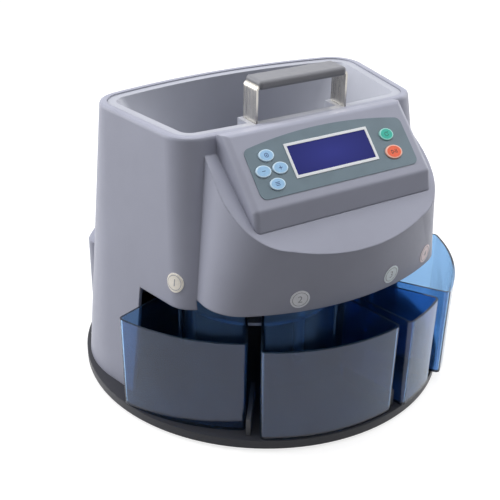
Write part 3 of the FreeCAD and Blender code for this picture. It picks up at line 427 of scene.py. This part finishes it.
# Keys: six oval caps with a pale rim round a coloured face, each on its own switch.
# They are moulded in two colours, and the print on top is a plain sign.
# A row gives a key's place across and up the panel, its half width and half height, and its face and rim.
MM = 0.001
PANEL_MIDDLE = np.array([0.0, -0.080688, 0.239812])
PANEL_ACROSS = np.array([1.0, 0.0, 0.0])
PANEL_UP = np.array([0.0, math.cos(PANEL_TILT), math.sin(PANEL_TILT)])
PANEL_OUT = np.array([0.0, -math.sin(PANEL_TILT), math.cos(PANEL_TILT)])
KEY_TOP = 0.0016
KEY_BLUE = (0.33, 0.56, 0.82)
KEY_PALE_BLUE = (0.6, 0.78, 0.93)
KEYS = {
    "key_menu": (-0.061, 0.0104, 0.0072, 0.0053, KEY_BLUE, KEY_PALE_BLUE),
    "key_minus": (-0.069, -0.0023, 0.0072, 0.0053, KEY_BLUE, KEY_PALE_BLUE),
    "key_plus": (-0.053, -0.0023, 0.0072, 0.0053, KEY_BLUE, KEY_PALE_BLUE),
    "key_batch": (-0.061, -0.015, 0.0072, 0.0053, KEY_BLUE, KEY_PALE_BLUE),
    "key_clear": (0.059, 0.0058, 0.0072, 0.0056, (0.022, 0.44, 0.34), (0.33, 0.72, 0.66)),
    "key_start": (0.059, -0.011, 0.0087, 0.0064, (0.84, 0.13, 0.05), (0.88, 0.5, 0.4)),
}


def key_cap(name, middle, halves, face, rim):
    """Two-colour cap: the distance from the middle, in half widths, is over the face's share at the rim."""
    material, tree, shader = new_material(name)
    edge = remap(tree, panel_distance(tree, middle, halves), (0.8, 0.84), (0.0, 1.0))
    cloud = noise(tree, object_place(tree), scale=350.0, detail=3.0)
    colour = blend(tree, edge, (*face, 1), (*rim, 1))
    feed(
        tree,
        shader,
        Base_Color=toned(tree, colour, wander(tree, cloud, 0.95, 1.05)),
        Roughness=wander(tree, cloud, 0.32, 0.42),
    )
    return material


def grid_faces(rows, columns, wrap_rows):
    """Squares between neighbouring points of a grid whose columns close round. A point's number is its row
    times the columns, plus its column."""
    row = np.arange(rows if wrap_rows else rows - 1)[:, None]
    column = np.arange(columns)[None, :]
    next_row = (row + 1) % rows
    next_column = (column + 1) % columns
    corners = [
        row * columns + column,
        row * columns + next_column,
        next_row * columns + next_column,
        next_row * columns + column,
    ]
    return np.stack(corners, -1).reshape(-1, 4)


def stroke(path, out, half_width, rise, closed=False):
    """A printed line: every point of the path goes half a width to either side, square to the path and to
    the face, and up by the ink's rise, which gives four corners that are joined along the path."""
    path = np.asarray(path, float)
    if closed:
        along = np.roll(path, -1, 0) - np.roll(path, 1, 0)
    else:
        along = np.gradient(path, axis=0)
    side = np.cross(out, along)
    side *= half_width / np.linalg.norm(side, axis=1, keepdims=True)
    lift = np.asarray(out) * rise
    corners = np.stack([path + side - lift, path + side + lift, path - side + lift, path - side - lift], 1)
    faces = grid_faces(len(path), 4, closed).tolist()
    if not closed:
        last = 4 * (len(path) - 1)
        faces += [[3, 2, 1, 0], [last, last + 1, last + 2, last + 3]]
    return corners.reshape(-1, 3), faces


def mesh_piece(name, parts, material, body):
    """One object from several stretches of points and faces; it sits at the origin and rides on a body."""
    points = np.concatenate([part[0] for part in parts])
    starts = np.cumsum([0] + [len(part[0]) for part in parts[:-1]])
    faces = []
    for start, part in zip(starts, parts):
        faces += [[corner + int(start) for corner in face] for face in part[1]]
    mesh = bpy.data.meshes.new(name)
    mesh.from_pydata(points.tolist(), [], faces)
    mesh.validate()
    mesh.materials.append(material)
    piece = bpy.data.objects.new(name, mesh)
    bpy.context.scene.collection.objects.link(piece)
    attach(piece, body)


def on_panel(points, middle, height):
    """Points given across and up the panel, from a middle, as points of the machine."""
    flat = np.asarray(points, float) + np.asarray(middle)
    return PANEL_MIDDLE + flat[:, :1] * PANEL_ACROSS + flat[:, 1:] * PANEL_UP + height * PANEL_OUT


def ring(radius, count=40):
    """Points round a circle: its radius times the cosine and the sine of even turns."""
    turn = np.radians(np.linspace(0, 360, count, endpoint=False))
    return radius * np.stack([np.cos(turn), np.sin(turn)], 1)


def arc(radius, start, end, count=36):
    """Points round a part of a circle, from one angle to another."""
    turn = np.radians(np.linspace(start, end, count))
    return radius * np.stack([np.cos(turn), np.sin(turn)], 1)


def straight(x0, y0, x1, y1, count=6):
    """Points along a straight line, at even shares of the way from one end to the other."""
    share = np.linspace(0, 1, count)[:, None]
    return np.array([x0, y0]) * (1 - share) + np.array([x1, y1]) * share


INK_HALF_WIDTH = 0.0003
INK_RISE = 0.00004
KEY_RINGS = {"key_menu": [ring(1.7), ring(0.35, count=16)]}
KEY_LINES = {
    "key_minus": [straight(-1.7, 0, 1.7, 0)],
    "key_plus": [straight(-1.7, 0, 1.7, 0), straight(0, 0.3, 0, 1.7), straight(0, -0.3, 0, -1.7)],
    "key_batch": [straight(-2, height, 2, height) for height in (1.3, 0, -1.3)],
    "key_clear": [arc(1.8, 60, 350), straight(0.9, 1.55, 2.3, 1.9), straight(0.9, 1.55, 1.2, 0.2)],
    "key_start": [
        straight(-2.6, -1.7, -2.6, 1.7),
        straight(-2.6, 1.7, 0.2, 0),
        straight(0.2, 0, -2.6, -1.7),
        straight(1.5, -1.7, 1.5, 1.7),
        straight(2.9, -1.7, 2.9, 1.7),
    ],
}
blue_ink = printed_film("blue_sign_ink", (0.03, 0.07, 0.22))
dark_ink = printed_film("dark_sign_ink", (0.12, 0.03, 0.02))
green_ink = printed_film("green_sign_ink", (0.004, 0.14, 0.1))
KEY_PRINTS = {"key_clear": (green_ink, "key_green"), "key_start": (dark_ink, "key_orange")}
for key, (x, y, half_width, half_height, face, rim) in KEYS.items():
    key_middle = on_panel([[x, y]], (0, 0), 0.0)[0]
    dress(key_cap(key + "_two_colour", key_middle, (half_width, half_height), face, rim), key)
    sign = []
    for paths, closed in ((KEY_RINGS.get(key, []), True), (KEY_LINES.get(key, []), False)):
        for path in paths:
            points = on_panel(path * MM, (x, y), KEY_TOP)
            sign.append(stroke(points, PANEL_OUT, INK_HALF_WIDTH, INK_RISE, closed))
    ink, slot = KEY_PRINTS.get(key, (blue_ink, "key_blue"))
    mesh_piece(key + "_sign", sign, ink, key + "_body")

# Power entry: black inlet with three pins and a red rocker beside it, snapped into the rear wall.
# The rocker carries a bar and a ring for its two positions.
entry_black = moulded(
    "entry_black_plastic", (0.018, 0.018, 0.02), roughness=0.42, cells=1500.0, grain=0.06, edge=0.0005
)
dress(entry_black, "power_inlet", "switch_body")
rocker_red = moulded(
    "rocker_red_plastic", (0.42, 0.02, 0.018), roughness=0.25, cells=1500.0, grain=0.03, edge=0.0005
)
dress(rocker_red, "power_rocker")
ROCKER_PIVOT = np.array([0.010, 0.151, 0.045])
ROCKER_TIP = math.radians(-8)
ROCKER_OUT = np.array([0.0, math.cos(ROCKER_TIP), math.sin(ROCKER_TIP)])
ROCKER_UP = np.array([0.0, -math.sin(ROCKER_TIP), math.cos(ROCKER_TIP)])
ROCKER_FACE = 0.003003
SIGN_RISE = 4.0


def on_rocker(points, rise):
    """Points given across and up the rocker's face, a height above its middle, as points of the machine."""
    flat = np.asarray(points, float) * MM
    lifted = (flat[:, 1:] + rise * MM) * ROCKER_UP
    return ROCKER_PIVOT - flat[:, :1] * PANEL_ACROSS + lifted + ROCKER_FACE * ROCKER_OUT


white_ink = printed_film("white_sign_ink", (0.8, 0.8, 0.8))
rocker_bar = on_rocker(straight(0, -1.3, 0, 1.3), SIGN_RISE)
rocker_ring = on_rocker(ring(1.3), -SIGN_RISE)
rocker_lines = [
    stroke(rocker_bar, ROCKER_OUT, INK_HALF_WIDTH, INK_RISE),
    stroke(rocker_ring, ROCKER_OUT, INK_HALF_WIDTH, INK_RISE, True),
]
mesh_piece("rocker_signs", rocker_lines, white_ink, "rocker")


# Drawers: four translucent blue styrene bins that slide in round the front.
# They are polished inside and out, with faint flow clouds in the plastic.
def tinted_clear(name, colour):
    """Clear tinted plastic: light is tinted by the wall, and tone and polish change in soft clouds."""
    material, tree, shader = new_material(name)
    cloud = noise(tree, object_place(tree), scale=25.0, detail=4.0)
    feed(
        tree,
        shader,
        Base_Color=toned(tree, colour, wander(tree, cloud, 0.94, 1.06)),
        Roughness=wander(tree, cloud, 0.06, 0.14),
        Transmission_Weight=0.97,
        IOR=1.5,
        Specular_IOR_Level=0.42,
        Specular_Tint=(0.96, 0.91, 1.0, 1),
    )
    return material


drawers = [f"coin_drawer_{number}" for number in (1, 2, 3, 4)]
dress(tinted_clear("tinted_blue_styrene", (0.26, 0.46, 0.73)), *drawers)

# Coin labels: four round paper stickers over the drawers, each in its own pale tint.
# Each carries a printed ring and the number of its drawer.
# A tint holds from its own place along X up to the next one.
FIRST_TINT = (0.98, 0.93, 0.84)
NEXT_TINTS = {-0.1: (0.94, 0.95, 1.0), -0.02: (0.88, 0.96, 1.0), 0.06: (1.0, 0.86, 0.88)}
BASE_MIDDLE_Y = 0.02
LABEL_ANGLES = (-63.0, -21.5, 13.5, 33.0)
LABEL_REACH = 9.0
LABEL_RING = 6.6 * MM
LABEL_RING_HALF_WIDTH = 0.00025
LABEL_RING_RISE = 0.00003
NUMERAL_HEIGHT = 6.5 * MM
CAPITAL_SHARE = 0.7


def label_paper(name):
    """Sticker paper: the tint steps at set places along X, one for each sticker, with a fibrous noise."""
    material, tree, shader = new_material(name)
    place = object_place(tree)
    across = add(tree, "ShaderNodeSeparateXYZ", Vector=place).outputs["X"]
    fibre = noise(tree, place, scale=1200.0, detail=3.0)
    tint = (*FIRST_TINT, 1)
    for start, colour in NEXT_TINTS.items():
        tint = blend(tree, reckon(tree, "GREATER_THAN", across, start), tint, (*colour, 1))
    bump = add(tree, "ShaderNodeBump", Strength=0.1, Distance=0.0001, Height=fibre)
    feed(
        tree,
        shader,
        Base_Color=toned(tree, tint, wander(tree, fibre, 0.92, 1.06)),
        Roughness=0.55,
        Normal=bump.outputs["Normal"],
    )
    return material


dress(label_paper("sticker_paper"), "coin_labels")
label_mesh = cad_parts["coin_labels"].data
label_points = np.empty(len(label_mesh.vertices) * 3)
label_mesh.vertices.foreach_get("co", label_points)
label_points = label_points.reshape(-1, 3)
label_turns = np.degrees(np.arctan2(label_points[:, 0], BASE_MIDDLE_Y - label_points[:, 1]))


def label_face(angle):
    """The middle of a sticker's outer face, and the directions out, across and up. The sticker's points
    spread least along its normal, which is the first axis of their covariance."""
    own = label_points[np.abs(label_turns - angle) < LABEL_REACH]
    turn = math.radians(angle)
    radial = np.array([math.sin(turn), -math.cos(turn), 0.0])
    out = np.linalg.eigh(np.cov((own - own.mean(0)).T))[1][:, 0]
    out = out * np.sign(out @ radial)
    middle = (own.min(0) + own.max(0)) / 2
    middle = middle + out * ((own - middle) @ out).max()
    across = np.cross((0.0, 0.0, 1.0), out)
    across /= np.linalg.norm(across)
    return middle, out, across, np.cross(out, across)


def numeral(text, height):
    """The outline of a number as flat points and faces, with the middle of its box at zero. Type is set
    larger than the height by the share that a capital takes of it."""
    curve = bpy.data.curves.new("numeral", "FONT")
    curve.body = text
    curve.size = height / CAPITAL_SHARE
    curve.align_x = "CENTER"
    writer = bpy.data.objects.new("numeral", curve)
    bpy.context.scene.collection.objects.link(writer)
    bpy.context.view_layer.update()
    mesh = bpy.data.meshes.new_from_object(writer)
    flat = np.empty(len(mesh.vertices) * 3)
    mesh.vertices.foreach_get("co", flat)
    flat = flat.reshape(-1, 3)[:, :2]
    faces = [list(polygon.vertices) for polygon in mesh.polygons]
    bpy.data.objects.remove(writer)
    bpy.data.curves.remove(curve)
    bpy.data.meshes.remove(mesh)
    return flat - (flat.min(0) + flat.max(0)) / 2, faces


label_ink = printed_film("label_ink", (0.4, 0.4, 0.44))
label_prints = []
for number, angle in enumerate(LABEL_ANGLES, 1):
    label_middle, label_out, *directions = label_face(angle)
    circle = label_middle + ring(LABEL_RING, count=64) @ np.stack(directions)
    label_prints.append(stroke(circle, label_out, LABEL_RING_HALF_WIDTH, LABEL_RING_RISE, True))
    flat, faces = numeral(str(number), NUMERAL_HEIGHT)
    label_prints.append((label_middle + flat @ np.stack(directions) + label_out * INK_RISE, faces))
mesh_piece("label_prints", label_prints, label_ink, "machine")


# Stage: pale floor, soft studio light and the camera of the photograph.
# The floor is white to the camera and keeps the shadow of the machine.
FLOOR_REACH = 6
FLOOR_GLOW = 0.78
SKY_FILL = 0.15
SKY_WHITE = 1.0
CAMERA_PLACE = (-0.44898, -0.66933, 0.53484)
CAMERA_TURN, CAMERA_RISE, CAMERA_ROLL = (math.radians(value) for value in (-32.16, 27.66, 0.98))
CAMERA_LENS = 68.79


def background_seen(tree):
    """1 for a ray that meets the background directly, in a reflection or through clear plastic,
    and 0 once it has left a dull surface."""
    path = add(tree, "ShaderNodeLightPath").outputs
    direct = reckon(tree, "MAXIMUM", path["Is Camera Ray"], path["Is Glossy Ray"])
    clear = reckon(tree, "MAXIMUM", direct, path["Is Transmission Ray"])
    return reckon(tree, "MULTIPLY", clear, reckon(tree, "LESS_THAN", path["Diffuse Depth"], 0.5))


floor_corners = [(x * FLOOR_REACH, y * FLOOR_REACH, 0) for x, y in ((-1, -1), (1, -1), (1, 1), (-1, 1))]
floor_mesh = bpy.data.meshes.new("floor")
floor_mesh.from_pydata(floor_corners, [], [(0, 1, 2, 3)])
floor = bpy.data.objects.new("floor", floor_mesh)
bpy.context.scene.collection.objects.link(floor)
floor_material, floor_tree, floor_shader = new_material("pale_floor")
feed(
    floor_tree,
    floor_shader,
    Base_Color=(0.34, 0.34, 0.345, 1),
    Roughness=0.7,
    Emission_Color=(1, 1, 1, 1),
    Emission_Strength=reckon(floor_tree, "MULTIPLY", background_seen(floor_tree), FLOOR_GLOW),
)
floor_mesh.materials.append(floor_material)

world = bpy.data.worlds.new("studio")
bpy.context.scene.world = world
world.use_nodes = True
sky_tree = world.node_tree
sky_tree.nodes.clear()
sky_strength = remap(sky_tree, background_seen(sky_tree), (0.0, 1.0), (SKY_FILL, SKY_WHITE))
sky = add(sky_tree, "ShaderNodeBackground", Color=(1, 1, 1, 1), Strength=sky_strength)
sky_tree.links.new(sky.outputs["Background"], sky_tree.nodes.new("ShaderNodeOutputWorld").inputs["Surface"])


def placed(right, up, back, place):
    """The matrix of a thing at a place: its three directions are the columns, and the place is the fourth."""
    rows = [[*row, at] for row, at in zip(np.stack([right, up, back], 1), place)]
    return Matrix(rows + [[0, 0, 0, 1]])


def soft_lamp(name, place, aim, across, power):
    """A square soft box at a place. It looks along the line to its aim, and its own right is level."""
    lamp = bpy.data.lights.new(name, "AREA")
    lamp.shape = "SQUARE"
    lamp.size = across
    lamp.energy = power
    toward = np.asarray(aim, float) - np.asarray(place, float)
    toward /= np.linalg.norm(toward)
    right = np.cross(toward, (0.0, 0.0, 1.0))
    right /= np.linalg.norm(right)
    item = bpy.data.objects.new(name, lamp)
    item.matrix_world = placed(right, np.cross(right, toward), -toward, place)
    bpy.context.scene.collection.objects.link(item)


soft_lamp("left_box", (-1.4, 1.2, 0.9), aim=(0, 0, 0.15), across=1.2, power=28)
soft_lamp("right_box", (1.6, -0.15, 0.8), aim=(0, 0, 0.15), across=1.2, power=16)
soft_lamp("top_box", (0.0, 0.1, 1.9), aim=(0, 0, 0.2), across=1.4, power=28)

level_back = np.array([math.sin(CAMERA_TURN), -math.cos(CAMERA_TURN), 0.0])
back = level_back * math.cos(CAMERA_RISE) + np.array([0.0, 0.0, math.sin(CAMERA_RISE)])
level = np.array([math.cos(CAMERA_TURN), math.sin(CAMERA_TURN), 0.0])
upright = np.cross(back, level)
right = level * math.cos(CAMERA_ROLL) + upright * math.sin(CAMERA_ROLL)
upward = upright * math.cos(CAMERA_ROLL) - level * math.sin(CAMERA_ROLL)
lens = bpy.data.cameras.new("photo_camera")
lens.lens = CAMERA_LENS
lens.sensor_width = 36.0
lens.clip_start = 0.01
camera = bpy.data.objects.new("photo_camera", lens)
camera.matrix_world = placed(right, upward, back, CAMERA_PLACE)
bpy.context.scene.collection.objects.link(camera)
bpy.context.scene.camera = camera
bpy.context.scene.view_settings.view_transform = "Standard"
